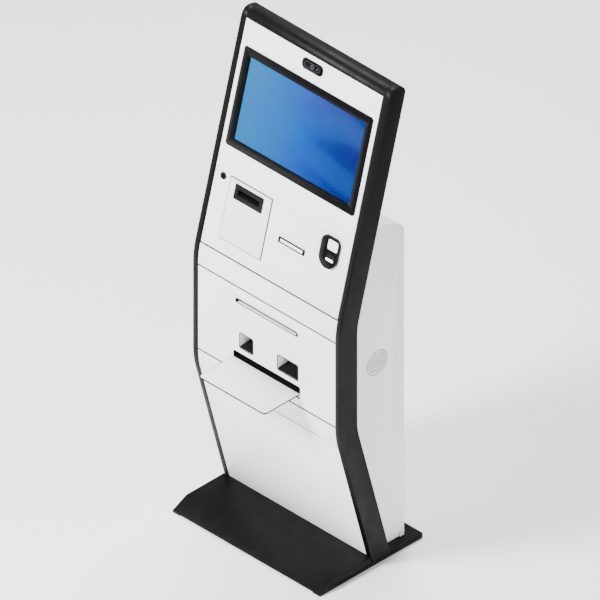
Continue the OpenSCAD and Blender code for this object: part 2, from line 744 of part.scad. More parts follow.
module rear_door() color(white) place() difference() {
    union() {
        block(-rear_x, rear_x, cabinet_back - 3, cabinet_back, rear_low, rear_high);
        block(-rear_x, -rear_x + 2, cabinet_back - 18, cabinet_back - 2, rear_low, rear_high);
        for (z = [rear_low, rear_high - 2])
            block(-rear_x, rear_hinge_x - 20, cabinet_back - 18, cabinet_back - 2, z, z + 2);
        for (z = rear_hinge_zs) {
            rear_knuckle(z, z + rear_knuckle_h, knuckle_r);
            block(rear_hinge_x - 22, rear_hinge_x, cabinet_back - 6, cabinet_back - 2, z,
                z + rear_knuckle_h);
        }
    }
    for (z = rear_hinge_zs) rear_knuckle(z - 1, z + rear_knuckle_h + 1, pin_r + run_gap);
    for (i = [-5 : 5]) inward(cabinet_back - 5, cabinet_back + 2) translate([0, fan_z + i * 7.5])
        square([2 * sqrt(40 * 40 - 56.25 * i * i), 4], center = true);
    for (i = [-7 : 7]) inward(cabinet_back - 5, cabinet_back + 2) translate([i * 16, 130])
        square([5, 60], center = true);
    rod_y(6.05, handle_x, cabinet_back - 10, cabinet_back + 5, handle_z);
    block(-rear_x - 1, -rear_x + 3, cabinet_back - 19, cabinet_back - 5, handle_z - 10,
        handle_z + 28);
}

// Grip, spindle and latch, drawn with the latch drawn back.
module rear_handle() color(black) place() {
    rod_y(6, handle_x, cabinet_back - 12, cabinet_back + 4, handle_z);
    rod_y(14, handle_x, cabinet_back + 0.4, cabinet_back + 10, handle_z);
    inward(cabinet_back + 4, cabinet_back + 16) rounded(handle_x, handle_z, 16, 84, 7);
    block(handle_x - 8, handle_x + 8, cabinet_back - 9.6, cabinet_back - 5.6, handle_z - 8,
        handle_z + 34);
}

module fan_frame() color(black) place() difference() {
    union() {
        difference() {
            inward(cabinet_back - 29, cabinet_back - 3) rounded(0, fan_z, 92, 92, 5);
            rod_y(41, 0, cabinet_back - 30, cabinet_back - 2, fan_z);
        }
        rod_y(17, 0, cabinet_back - 29, cabinet_back - 26, fan_z);
        for (a = [45, 135]) translate([0, cabinet_back - 27.5, fan_z]) rotate([0, a, 0])
            cube([90, 3, 5], center = true);
    }
    rod_y(fan_pin_r + run_gap, 0, cabinet_back - 30, cabinet_back - 20, fan_z);
    for (sx = [-1, 1], sz = [-1, 1])
        rod_y(2.2, sx * 41, cabinet_back - 30, cabinet_back - 2, fan_z + sz * 41);
}

module fan_rotor() color(dark) place() {
    rod_y(16, 0, cabinet_back - 25, cabinet_back - 7, fan_z);
    rod_y(fan_pin_r, 0, cabinet_back - 28.5, cabinet_back - 20, fan_z);
    for (i = [0 : 6]) translate([0, cabinet_back - 16, fan_z]) rotate([0, i * 360 / 7, 0])
        rotate([0, 0, 35]) block(-1.2, 1.2, -7, 7, 13, 38.5);
}

base_plate();
toe_cover();
base_pads();
left_cheek();
right_cheek();
top_member();
middle_fascia();
lower_fascia();
back_cover();
cabinet_shell();
cabinet_screws();
foot_brackets();
base_bolts();
upper_fascia();
display_bezel();
display_glass();
lcd_panel();
display_housing();
camera_window();
camera_module();
lock_body();
lock_plug();
lock_cam();
acceptor_plate();
acceptor_mouth();
card_bezel();
card_reader();
reader_shell();
reader_window();
reader_light();
door_knuckles();
hinge_brackets();
hinge_pins();
document_bezel();
document_flap();
document_scanner();
card_pocket();
receipt_pocket();
pocket_chutes();
card_dispenser();
receipt_printer();
receipt_roll();
tray();
tray_guide();
slot_liner();
sheet_printer();
sheet_roll();
printer_stand();
banknote_validator();
note_cassette();
equipment_shelves();
computer();
power_supply();
power_inlet();
speaker_grille();
speaker_driver();
rear_door();
rear_handle();
fan_frame();
fan_rotor();
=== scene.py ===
import json
import math

import bmesh
import bpy
from mathutils import Matrix, Vector


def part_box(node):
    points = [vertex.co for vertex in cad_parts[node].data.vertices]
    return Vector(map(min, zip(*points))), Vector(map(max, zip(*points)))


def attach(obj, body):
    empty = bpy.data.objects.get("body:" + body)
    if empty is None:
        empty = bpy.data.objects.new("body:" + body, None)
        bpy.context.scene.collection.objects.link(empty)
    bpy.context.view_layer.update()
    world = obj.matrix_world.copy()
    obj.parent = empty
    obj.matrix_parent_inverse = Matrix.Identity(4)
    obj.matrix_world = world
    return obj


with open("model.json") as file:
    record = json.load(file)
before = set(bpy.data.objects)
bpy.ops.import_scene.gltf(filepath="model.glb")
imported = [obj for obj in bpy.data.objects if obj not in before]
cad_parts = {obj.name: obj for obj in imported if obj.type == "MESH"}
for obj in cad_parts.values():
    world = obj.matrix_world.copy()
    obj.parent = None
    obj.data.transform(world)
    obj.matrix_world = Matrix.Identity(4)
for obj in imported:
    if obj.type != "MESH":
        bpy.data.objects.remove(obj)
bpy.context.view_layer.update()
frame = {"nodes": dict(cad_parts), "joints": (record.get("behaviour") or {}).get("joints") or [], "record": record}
nodes = frame["nodes"]
joints = {joint["name"]: joint for joint in frame["joints"]}
mm = 0.001
print("frame loaded:", len(nodes), "nodes")


# directions of the upright front and of the leaning door

upright = Matrix.Identity(3)
doorRise = Vector(joints["upper_door_swing"]["axis"])
doorSide = Vector((1, 0, 0))
lean = Matrix((doorSide, doorRise.cross(doorSide), doorRise)).transposed()


def localBox(name, axes):
    # lowest and highest corners of a node along the columns of axes: side, depth, rise
    turned = axes.transposed()
    points = [turned @ vertex.co for vertex in nodes[name].data.vertices]
    return (Vector(min(point[i] for point in points) for i in range(3)),
            Vector(max(point[i] for point in points) for i in range(3)))


def middleOf(low, high):
    return (low.x + high.x) / 2, (low.z + high.z) / 2


# camera, light and floor

cameraLook = {"turn": 45.0, "rise": 35.264, "width": 1.7565, "aim": (0.0, 0.010, 0.801), "back": 8.0,
    "clip": (0.1, 60)}


def addCamera(look):
    turn, rise = math.radians(look["turn"]), math.radians(look["rise"])
    back = Vector((math.sin(turn) * math.cos(rise), -math.cos(turn) * math.cos(rise), math.sin(rise)))
    data = bpy.data.cameras.new("camera")
    data.type = "ORTHO"
    data.ortho_scale = look["width"]
    data.clip_start, data.clip_end = look["clip"]
    camera = bpy.data.objects.new("camera", data)
    bpy.context.scene.collection.objects.link(camera)
    camera.location = Vector(look["aim"]) + back * look["back"]
    camera.rotation_mode = "QUATERNION"
    camera.rotation_quaternion = (-back).to_track_quat("-Z", "Y")
    bpy.context.scene.camera = camera


addCamera(cameraLook)

studio = {
    "sky": (1.0, 1.0, 1.0), "skyPower": 0.72,
    "lamps": [
        # name, place, aim, size, watts
        ("keyLamp", (-1.4, -3.6, 3.9), (0, 0, 0.8), 1.5, 620),
        ("fillLamp", (4.4, -1.8, 1.6), (0, 0, 0.8), 2.6, 90),
        ("topLamp", (-1.4, 1.8, 4.8), (0, 0.4, 0.4), 2.6, 330),
    ],
    "floor": (0.96, 0.96, 0.96), "floorShade": 0.985, "floorHalf": 30,
    "floorRough": 0.7, "floorCloud": (3.0, 3.0, 0.5),
}


def addStudio(look):
    world = bpy.data.worlds.new("softSky")
    world.use_nodes = True
    sky = world.node_tree.nodes["Background"]
    sky.inputs["Color"].default_value = (*look["sky"], 1)
    sky.inputs["Strength"].default_value = look["skyPower"]
    bpy.context.scene.world = world
    for name, place, aim, size, watts in look["lamps"]:
        data = bpy.data.lights.new(name, "AREA")
        data.shape, data.size, data.energy = "DISK", size, watts
        lamp = bpy.data.objects.new(name, data)
        bpy.context.scene.collection.objects.link(lamp)
        lamp.location = place
        lamp.rotation_euler = (Vector(aim) - Vector(place)).to_track_quat("-Z", "Y").to_euler()


addStudio(studio)
print("camera and studio ready")


# shader node groups; a noise is (scale, detail, roughness)

def makeGroup(name, inputs, outputs):
    tree = bpy.data.node_groups.new(name, "ShaderNodeTree")
    for label, kind, value in inputs:
        socket = tree.interface.new_socket(label, in_out="INPUT", socket_type=kind)
        socket.default_value = value
    for label, kind in outputs:
        tree.interface.new_socket(label, in_out="OUTPUT", socket_type=kind)
    return tree, tree.nodes.new("NodeGroupInput"), tree.nodes.new("NodeGroupOutput")


def addNode(tree, kind, **settings):
    node = tree.nodes.new(kind)
    for key, value in settings.items():
        setattr(node, key, value)
    return node


def wire(tree, source, target):
    # source is a socket or a plain value
    if isinstance(source, bpy.types.NodeSocket):
        tree.links.new(source, target)
    else:
        target.default_value = source


def doMath(tree, operation, first, second=0.0, third=0.0, clamp=False):
    node = addNode(tree, "ShaderNodeMath", operation=operation, use_clamp=clamp)
    for index, value in enumerate((first, second, third)):
        wire(tree, value, node.inputs[index])
    return node.outputs[0]


def noiseAt(tree, vector, scale, detail, rough=0.5):
    node = addNode(tree, "ShaderNodeTexNoise")
    wire(tree, vector, node.inputs["Vector"])
    wire(tree, scale, node.inputs["Scale"])
    node.inputs["Detail"].default_value = detail
    node.inputs["Roughness"].default_value = rough
    return node.outputs["Fac"]


def remap(tree, value, low, high, outLow=0.0, outHigh=1.0):
    node = addNode(tree, "ShaderNodeMapRange", interpolation_type="SMOOTHSTEP")
    wire(tree, value, node.inputs["Value"])
    for key, number in (("From Min", low), ("From Max", high), ("To Min", outLow), ("To Max", outHigh)):
        wire(tree, number, node.inputs[key])
    return node.outputs["Result"]


def objectPlace(tree):
    return addNode(tree, "ShaderNodeTexCoord").outputs["Object"]


peelLook = {"pebbles": (2.0, 0.45), "waves": (140.0, 1.0, 0.5), "waveShare": 0.8,
    "tone": (4.0, 4.0, 0.6)}


def buildOrangePeel(look):
    # skin of a sprayed coat: fine pebbles over slow waves, and a slow change of tone
    tree, source, sink = makeGroup("orangePeel", [("Pebble Scale", "NodeSocketFloat", 900.0)],
        [("Height", "NodeSocketFloat"), ("Tone", "NodeSocketFloat")])
    place = objectPlace(tree)
    pebbles = noiseAt(tree, place, source.outputs["Pebble Scale"], *look["pebbles"])
    waves = noiseAt(tree, place, *look["waves"])
    wire(tree, doMath(tree, "MULTIPLY_ADD", waves, look["waveShare"], pebbles), sink.inputs["Height"])
    wire(tree, noiseAt(tree, place, *look["tone"]), sink.inputs["Tone"])
    return tree


grainLook = {"fine": (2600.0, 1.0, 0.5), "fineShare": 0.4, "tone": (9.0, 3.0, 0.6)}


def buildMouldGrain(look):
    # leathery spark-eroded grain of a plastic moulding
    tree, source, sink = makeGroup("mouldGrain", [("Grain Scale", "NodeSocketFloat", 1400.0)],
        [("Height", "NodeSocketFloat"), ("Tone", "NodeSocketFloat")])
    place = objectPlace(tree)
    cells = addNode(tree, "ShaderNodeTexVoronoi", feature="SMOOTH_F1")
    wire(tree, place, cells.inputs["Vector"])
    wire(tree, source.outputs["Grain Scale"], cells.inputs["Scale"])
    height = doMath(tree, "MULTIPLY_ADD", noiseAt(tree, place, *look["fine"]), look["fineShare"],
        cells.outputs["Distance"])
    wire(tree, height, sink.inputs["Height"])
    wire(tree, noiseAt(tree, place, *look["tone"]), sink.inputs["Tone"])
    return tree


wearLook = {"samples": 4, "turned": (0.995, 0.90), "patches": (26.0, 5.0, 0.7), "cut": (0.42, 0.66)}


def buildEdgeWear(look):
    # rubbed edges: where the rounded normal leaves the true one, broken up by noise
    tree, source, sink = makeGroup("edgeWear", [("Width", "NodeSocketFloat", 0.0015),
        ("Amount", "NodeSocketFloat", 0.5)], [("Mask", "NodeSocketFloat")])
    bevel = addNode(tree, "ShaderNodeBevel", samples=look["samples"])
    wire(tree, source.outputs["Width"], bevel.inputs["Radius"])
    geometry = addNode(tree, "ShaderNodeNewGeometry")
    dot = addNode(tree, "ShaderNodeVectorMath", operation="DOT_PRODUCT")
    wire(tree, bevel.outputs["Normal"], dot.inputs[0])
    wire(tree, geometry.outputs["Normal"], dot.inputs[1])
    edge = remap(tree, dot.outputs["Value"], *look["turned"])
    patches = remap(tree, noiseAt(tree, objectPlace(tree), *look["patches"]), *look["cut"])
    mask = doMath(tree, "MULTIPLY", doMath(tree, "MULTIPLY", edge, patches), source.outputs["Amount"],
        clamp=True)
    wire(tree, mask, sink.inputs["Mask"])
    return tree


# facing is (least and most upward, share on a wall, share on a top)
dustLook = {"facing": (0.3, 1.0, 0.15, 1.0), "blotch": (38.0, 6.0, 0.7), "cut": (0.35, 0.75)}


def buildFloorDust(look):
    # dust that settles on faces that look up, and scuffs in a band above the floor
    tree, source, sink = makeGroup("floorDust", [("Reach", "NodeSocketFloat", 0.12),
        ("Amount", "NodeSocketFloat", 0.5)], [("Mask", "NodeSocketFloat")])
    place = objectPlace(tree)
    split = addNode(tree, "ShaderNodeSeparateXYZ")
    wire(tree, place, split.inputs["Vector"])
    low = remap(tree, split.outputs["Z"], source.outputs["Reach"], 0.0)
    geometry = addNode(tree, "ShaderNodeNewGeometry")
    up = addNode(tree, "ShaderNodeSeparateXYZ")
    wire(tree, geometry.outputs["Normal"], up.inputs["Vector"])
    facing = remap(tree, up.outputs["Z"], *look["facing"])
    blotch = remap(tree, noiseAt(tree, place, *look["blotch"]), *look["cut"])
    mask = doMath(tree, "MULTIPLY", doMath(tree, "MULTIPLY", low, facing), blotch)
    wire(tree, doMath(tree, "MULTIPLY", mask, source.outputs["Amount"], clamp=True), sink.inputs["Mask"])
    return tree


handsLook = {"stretch": (1.0, 1.0, 0.35), "turn": (0.0, 0.5, 0.0), "streaks": (5.0, 0.65),
    "cut": (0.38, 0.72)}


def buildHandling(look):
    # finger marks and wiping: soft streaky blotches for roughness
    tree, source, sink = makeGroup("handling", [("Size", "NodeSocketFloat", 30.0)],
        [("Mask", "NodeSocketFloat")])
    place = objectPlace(tree)
    stretch = addNode(tree, "ShaderNodeMapping")
    wire(tree, place, stretch.inputs["Vector"])
    stretch.inputs["Scale"].default_value = look["stretch"]
    stretch.inputs["Rotation"].default_value = look["turn"]
    streaks = noiseAt(tree, stretch.outputs["Vector"], source.outputs["Size"], *look["streaks"])
    wire(tree, remap(tree, streaks, *look["cut"]), sink.inputs["Mask"])
    return tree


brushLook = {"stretch": (0.04, 1.0, 1.0), "lines": (4.0, 0.7), "spangles": 90.0}


def buildBrushing(look):
    # drawn lines along the sheet, for zinc plated and machined metal
    tree, source, sink = makeGroup("brushing", [("Line Scale", "NodeSocketFloat", 400.0)],
        [("Height", "NodeSocketFloat"), ("Tone", "NodeSocketFloat")])
    place = objectPlace(tree)
    stretch = addNode(tree, "ShaderNodeMapping")
    wire(tree, place, stretch.inputs["Vector"])
    stretch.inputs["Scale"].default_value = look["stretch"]
    lines = noiseAt(tree, stretch.outputs["Vector"], source.outputs["Line Scale"], *look["lines"])
    wire(tree, lines, sink.inputs["Height"])
    cells = addNode(tree, "ShaderNodeTexVoronoi")
    wire(tree, place, cells.inputs["Vector"])
    cells.inputs["Scale"].default_value = look["spangles"]
    spangle = addNode(tree, "ShaderNodeRGBToBW")
    wire(tree, cells.outputs["Color"], spangle.inputs["Color"])
    wire(tree, spangle.outputs["Val"], sink.inputs["Tone"])
    return tree


groups = {
    "peel": buildOrangePeel(peelLook), "grain": buildMouldGrain(grainLook),
    "wear": buildEdgeWear(wearLook), "dust": buildFloorDust(dustLook),
    "hands": buildHandling(handsLook), "brush": buildBrushing(brushLook),
}
print("node groups ready")


# materials

def newMaterial(name, **fixed):
    material = bpy.data.materials.new(name)
    material.use_nodes = True
    tree = material.node_tree
    shader = tree.nodes["Principled BSDF"]
    for key, value in fixed.items():
        shader.inputs[key.replace("_", " ")].default_value = value
    return material, tree, shader


def useGroup(tree, key, **values):
    node = addNode(tree, "ShaderNodeGroup", node_tree=groups[key])
    for label, value in values.items():
        wire(tree, value, node.inputs[label.replace("_", " ")])
    return node.outputs


def mixColour(tree, mask, first, second):
    node = addNode(tree, "ShaderNodeMix", data_type="RGBA")
    wire(tree, mask, node.inputs["Factor"])
    for socket, colour in ((node.inputs["A"], first), (node.inputs["B"], second)):
        wire(tree, colour if isinstance(colour, bpy.types.NodeSocket) else (*colour, 1), socket)
    return node.outputs["Result"]


def mixNumber(tree, mask, first, second):
    node = addNode(tree, "ShaderNodeMix", data_type="FLOAT")
    wire(tree, mask, node.inputs["Factor"])
    wire(tree, first, node.inputs["A"])
    wire(tree, second, node.inputs["B"])
    return node.outputs["Result"]


def addBump(tree, shader, height, distance, strength):
    bump = addNode(tree, "ShaderNodeBump")
    wire(tree, height, bump.inputs["Height"])
    bump.inputs["Distance"].default_value = distance
    bump.inputs["Strength"].default_value = strength
    wire(tree, bump.outputs["Normal"], shader.inputs["Normal"])


# what every coat of a family shares, and below what each finish has of its own
coatBasics = {"lacquerRough": 0.22, "wearWidth": 1.2 * mm, "marks": 14.0, "wiped": -0.05,
    "marked": 0.07, "dustRough": 0.85, "bump": 0.6}


def powderCoat(name, look):
    basics = coatBasics
    material, tree, shader = newMaterial(name, Coat_Weight=look["lacquer"],
        Coat_Roughness=basics["lacquerRough"], Specular_IOR_Level=look["shine"])
    peel = useGroup(tree, "peel", Pebble_Scale=look["pebbles"])
    wear = useGroup(tree, "wear", Width=basics["wearWidth"], Amount=look["wear"])["Mask"]
    dust = useGroup(tree, "dust", Reach=look["dustReach"], Amount=look["dust"])["Mask"]
    hands = useGroup(tree, "hands", Size=basics["marks"])["Mask"]
    base = mixColour(tree, peel["Tone"], look["shade"], look["colour"])
    worn = mixColour(tree, wear, base, look["worn"])
    dusty = mixColour(tree, dust, worn, look["dustColour"])
    wire(tree, dusty, shader.inputs["Base Color"])
    rough = mixNumber(tree, hands, look["rough"] + basics["wiped"], look["rough"] + basics["marked"])
    wire(tree, mixNumber(tree, dust, rough, basics["dustRough"]), shader.inputs["Roughness"])
    addBump(tree, shader, peel["Height"], look["relief"], basics["bump"])
    return material


plasticBasics = {"shine": 0.4, "wearWidth": 0.8 * mm, "roughSpread": 0.06, "bump": 0.7}


def mouldedPlastic(name, look):
    basics = plasticBasics
    spread = basics["roughSpread"]
    material, tree, shader = newMaterial(name, Specular_IOR_Level=look.get("shine", basics["shine"]))
    grain = useGroup(tree, "grain", Grain_Scale=look["grain"])
    wear = useGroup(tree, "wear", Width=basics["wearWidth"], Amount=look["wear"])["Mask"]
    base = mixColour(tree, grain["Tone"], look["shade"], look["colour"])
    wire(tree, mixColour(tree, wear, base, look["worn"]), shader.inputs["Base Color"])
    wire(tree, mixNumber(tree, grain["Tone"], look["rough"] - spread, look["rough"] + spread),
        shader.inputs["Roughness"])
    addBump(tree, shader, grain["Height"], look["relief"], basics["bump"])
    return material


def glossBlack(name, look):
    material, tree, shader = newMaterial(name, Coat_Weight=look["lacquer"],
        Coat_Roughness=look["lacquerRough"], Specular_IOR_Level=look["shine"])
    hands = useGroup(tree, "hands", Size=look["smudge"])["Mask"]
    grain = useGroup(tree, "grain", Grain_Scale=look["grain"])
    wire(tree, mixColour(tree, grain["Tone"], look["shade"], look["colour"]), shader.inputs["Base Color"])
    wire(tree, mixNumber(tree, hands, look["rough"], look["smudgeRough"]), shader.inputs["Roughness"])
    addBump(tree, shader, hands, look["relief"], look["bump"])
    return material


steelBasics = {"marks": 40.0, "wiped": -0.05, "marked": 0.1, "bump": 0.5}


def platedSteel(name, look):
    basics = steelBasics
    material, tree, shader = newMaterial(name, Metallic=1.0)
    brush = useGroup(tree, "brush", Line_Scale=look["lines"])
    hands = useGroup(tree, "hands", Size=basics["marks"])["Mask"]
    wire(tree, mixColour(tree, brush["Tone"], look["shade"], look["colour"]), shader.inputs["Base Color"])
    wire(tree, mixNumber(tree, hands, look["rough"] + basics["wiped"], look["rough"] + basics["marked"]),
        shader.inputs["Roughness"])
    addBump(tree, shader, brush["Height"], look["relief"], basics["bump"])
    return material


paperLook = {
    "colour": (0.90, 0.89, 0.85), "shade": (0.74, 0.73, 0.69), "coreColour": (0.10, 0.10, 0.11),
    "turns": 9000.0, "rough": 0.85, "fibre": (700.0, 4.0, 0.7), "coreEdge": 0.6 * mm,
    "relief": 0.00008, "bump": 0.5,
}


def paperWound(name, centreOf, core, look):
    # edges of the turns as fine rings, on the roll's own axis
    material, tree, shader = newMaterial(name, Roughness=look["rough"])
    place = objectPlace(tree)
    centre = addNode(tree, "ShaderNodeMapping")
    wire(tree, place, centre.inputs["Vector"])
    centre.inputs["Location"].default_value = [-value for value in centreOf]
    centre.inputs["Scale"].default_value = (0.0, 1.0, 1.0)
    reach = addNode(tree, "ShaderNodeVectorMath", operation="LENGTH")
    wire(tree, centre.outputs["Vector"], reach.inputs[0])
    rings = doMath(tree, "SINE", doMath(tree, "MULTIPLY", reach.outputs["Value"], look["turns"]))
    soft = remap(tree, rings, -1.0, 1.0)
    fibre = noiseAt(tree, place, *look["fibre"])
    inCore = remap(tree, reach.outputs["Value"], core, core - look["coreEdge"])
    paper = mixColour(tree, doMath(tree, "MULTIPLY", soft, fibre), look["colour"], look["shade"])
    wire(tree, mixColour(tree, inCore, paper, look["coreColour"]), shader.inputs["Base Color"])
    addBump(tree, shader, doMath(tree, "ADD", soft, fibre), look["relief"], look["bump"])
    return material


# a band is (slope, start, full, fading, end) over the picture's height
screenLook = {
    "left": (0.0, 0.34, 0.95), "middle": (0.0, 0.13, 0.90), "right": (0.0, 0.016, 0.36),
    "middleAt": 0.52, "beam": (0.0, 0.27, 1.05), "beamShare": 0.28,
    "falling": (-0.42, 0.16, 0.30, 0.40, 0.62), "rising": (0.30, 0.36, 0.46, 0.60, 0.74),
    "border": (0.002, 0.002, 0.003), "glow": 0.72, "darkening": 0.92, "frontSkin": 0.2 * mm,
    "wide": 0.476, "high": 0.268, "rough": 0.5, "shine": 0.05,
}


def litPicture(name, look):
    # a plain abstract glow: a left to right gradient with two soft slanting bands
    material, tree, shader = newMaterial(name, Roughness=look["rough"], Specular_IOR_Level=look["shine"])
    low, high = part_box("lcd_panel")
    split = addNode(tree, "ShaderNodeSeparateXYZ")
    wire(tree, objectPlace(tree), split.inputs["Vector"])
    across = remap(tree, split.outputs["X"], -look["wide"] / 2, look["wide"] / 2)
    upward = doMath(tree, "DIVIDE", doMath(tree, "SUBTRACT", split.outputs["Z"], low.z), high.z - low.z)
    ramp = addNode(tree, "ShaderNodeValToRGB")
    wire(tree, across, ramp.inputs["Fac"])
    stops = ramp.color_ramp.elements
    stops[0].color = (*look["left"], 1)
    stops[1].color = (*look["right"], 1)
    middle = stops.new(look["middleAt"])
    middle.color = (*look["middle"], 1)
    bands = []
    for slope, start, full, fading, end in (look["falling"], look["rising"]):
        slant = doMath(tree, "MULTIPLY_ADD", across, slope, upward)
        bands.append(doMath(tree, "MULTIPLY", remap(tree, slant, start, full),
            remap(tree, slant, end, fading)))
    strength = doMath(tree, "MULTIPLY", doMath(tree, "ADD", *bands), look["beamShare"])
    picture = mixColour(tree, strength, ramp.outputs["Color"], look["beam"])
    sideways = doMath(tree, "LESS_THAN", doMath(tree, "ABSOLUTE", split.outputs["X"]), look["wide"] / 2)
    # the picture's height runs along the leaning panel
    centre = (low + high) / 2
    rise = doMath(tree, "ADD",
        doMath(tree, "MULTIPLY", doMath(tree, "SUBTRACT", split.outputs["Y"], centre.y), doorRise.y),
        doMath(tree, "MULTIPLY", doMath(tree, "SUBTRACT", split.outputs["Z"], centre.z), doorRise.z))
    level = doMath(tree, "LESS_THAN", doMath(tree, "ABSOLUTE", rise), look["high"] / 2)
    lit = doMath(tree, "MULTIPLY", sideways, level)
    # only the face behind the glass is lit
    low, high = localBox("lcd_panel", lean)
    inward = addNode(tree, "ShaderNodeVectorMath", operation="DOT_PRODUCT")
    wire(tree, objectPlace(tree), inward.inputs[0])
    inward.inputs[1].default_value = lean.col[1]
    front = doMath(tree, "LESS_THAN", inward.outputs["Value"], low.y + look["frontSkin"])
    lit = doMath(tree, "MULTIPLY", lit, front)
    shown = mixColour(tree, lit, look["border"], picture)
    unlit = mixColour(tree, look["darkening"], shown, (0.0, 0.0, 0.0))
    wire(tree, unlit, shader.inputs["Base Color"])
    wire(tree, shown, shader.inputs["Emission Color"])
    shader.inputs["Emission Strength"].default_value = look["glow"]
    return material


def clearGlass(name, look):
    # a low index stands for glass with an anti-glare coat
    material, tree, shader = newMaterial(name, Transmission_Weight=1.0, IOR=look["index"])
    hands = useGroup(tree, "hands", Size=look["marks"])["Mask"]
    shader.inputs["Base Color"].default_value = (*look["tint"], 1)
    wire(tree, mixNumber(tree, hands, look["rough"], look["markedRough"]), shader.inputs["Roughness"])
    return material


glowBasics = {"rough": 0.4, "cloud": (120.0, 2.0, 0.5)}


def glowing(name, look):
    material, tree, shader = newMaterial(name, Roughness=glowBasics["rough"])
    fine = noiseAt(tree, objectPlace(tree), *glowBasics["cloud"])
    tone = mixColour(tree, fine, look["shade"], look["colour"])
    wire(tree, tone, shader.inputs["Base Color"])
    wire(tree, tone, shader.inputs["Emission Color"])
    shader.inputs["Emission Strength"].default_value = look["glow"]
    return material


finishes = {
    "white_coat": powderCoat("whiteCoat", {
        "colour": (0.93, 0.932, 0.925), "shade": (0.905, 0.908, 0.90), "worn": (0.74, 0.74, 0.73),
        "dustColour": (0.62, 0.60, 0.57), "rough": 0.42, "pebbles": 900.0, "relief": 0.00006,
        "lacquer": 0.06, "wear": 0.3, "dust": 0.35, "dustReach": 0.12, "shine": 0.4}),
    "black_coat": powderCoat("blackCoat", {
        "colour": (0.0022, 0.0022, 0.0026), "shade": (0.0014, 0.0014, 0.0017),
        "worn": (0.024, 0.024, 0.026), "dustColour": (0.030, 0.028, 0.026), "rough": 0.46,
        "pebbles": 1100.0, "relief": 0.00010, "lacquer": 0.0, "wear": 0.3, "dust": 0.14,
        "dustReach": 0.06, "shine": 0.09}),
    "white_plastic": mouldedPlastic("whitePlastic", {
        "colour": (0.88, 0.885, 0.88), "shade": (0.84, 0.845, 0.835), "worn": (0.75, 0.75, 0.73),
        "rough": 0.38, "grain": 1500.0, "relief": 0.00003, "wear": 0.25}),
    "black_plastic": mouldedPlastic("blackPlastic", {
        "colour": (0.0045, 0.0045, 0.005), "shade": (0.003, 0.003, 0.0034),
        "worn": (0.014, 0.014, 0.015), "rough": 0.48, "grain": 1200.0, "relief": 0.00008,
        "wear": 0.2, "shine": 0.12}),
    "dark_unit": mouldedPlastic("darkUnit", {
        "colour": (0.055, 0.058, 0.066), "shade": (0.040, 0.042, 0.048), "worn": (0.16, 0.16, 0.17),
        "rough": 0.52, "grain": 900.0, "relief": 0.00010, "wear": 0.5}),
    "grey_unit": mouldedPlastic("greyUnit", {
        "colour": (0.26, 0.27, 0.285), "shade": (0.22, 0.23, 0.245), "worn": (0.42, 0.42, 0.43),
        "rough": 0.5, "grain": 900.0, "relief": 0.00010, "wear": 0.5}),
    "gloss_black": glossBlack("glossBlack", {
        "colour": (0.004, 0.004, 0.005), "shade": (0.0025, 0.0025, 0.003), "rough": 0.16,
        "smudgeRough": 0.30, "smudge": 24.0, "grain": 300.0, "lacquer": 0.02, "lacquerRough": 0.06,
        "shine": 0.07, "relief": 0.00001, "bump": 0.4}),
    "zinc_steel": platedSteel("zincSteel", {
        "colour": (0.62, 0.63, 0.64), "shade": (0.50, 0.51, 0.53), "lines": 500.0, "rough": 0.34,
        "relief": 0.00003}),
    "bright_steel": platedSteel("brightSteel", {
        "colour": (0.78, 0.78, 0.79), "shade": (0.66, 0.66, 0.68), "lines": 1200.0, "rough": 0.20,
        "relief": 0.00001}),
    "pad_rubber": mouldedPlastic("padRubber", {
        "colour": (0.022, 0.022, 0.022), "shade": (0.014, 0.014, 0.014), "worn": (0.09, 0.09, 0.085),
        "rough": 0.8, "grain": 700.0, "relief": 0.0002, "wear": 0.6}),
    "screen_picture": litPicture("screenPicture", screenLook),
    "screen_glass": clearGlass("screenGlass", {
        "tint": (0.98, 0.99, 1.0), "index": 1.14, "rough": 0.02, "markedRough": 0.05, "marks": 20.0}),
    "window_clear": glowing("readerLens", {
        "colour": (0.86, 0.92, 0.94), "shade": (0.78, 0.86, 0.90), "glow": 0.25}),
    "light_bar": glowing("lightBar", {
        "colour": (1.0, 1.0, 1.0), "shade": (0.94, 0.96, 1.0), "glow": 0.9}),
}


slotOf = {entry["node"]: entry["material_slot"] for entry in frame["record"]["subparts"]}


def paint(obj, material):
    obj.data.materials.clear()
    obj.data.materials.append(material)


for name, node in nodes.items():
    if slotOf[name] == "paper_roll":
        low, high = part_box(name)
        paint(node, paperWound(name + "Paper", (low + high) / 2, 6 * mm, paperLook))
    else:
        paint(node, finishes[slotOf[name]])
print("materials ready")


# edge rounding of the carried-over nodes

usualRadius = 0.0006
edgeRadius = {
    "display_glass": 0.0004, "lcd_panel": 0.0, "speaker_grille": 0.0, "reader_shell": 0.0025,
    "camera_window": 0.0012, "display_bezel": 0.0010, "acceptor_plate": 0.0008,
    "acceptor_mouth": 0.0008, "toe_cover": 0.0012, "base_plate": 0.0010, "tray": 0.0008,
    "receipt_roll": 0.0004, "sheet_roll": 0.0004, "hinge_brackets": 0.0003,
}
# angles in degrees: faces flatter than flat are joined, edges sharper than sharp are rounded
roundingLook = {"weld": 0.01 * mm, "flat": 0.6, "sharp": 32, "segments": 2, "profile": 0.5}


def roundEdges(obj, width, look):
    weld = obj.modifiers.new("weld", "WELD")
    weld.merge_threshold = look["weld"]
    flat = obj.modifiers.new("flatFaces", "DECIMATE")
    flat.decimate_type = "DISSOLVE"
    flat.angle_limit = math.radians(look["flat"])
    bevel = obj.modifiers.new("softEdges", "BEVEL")
    bevel.width, bevel.segments, bevel.profile = width, look["segments"], look["profile"]
    bevel.limit_method, bevel.angle_limit = "ANGLE", math.radians(look["sharp"])
    bevel.use_clamp_overlap = True
    bevel.harden_normals = True
    obj.data.shade_smooth()


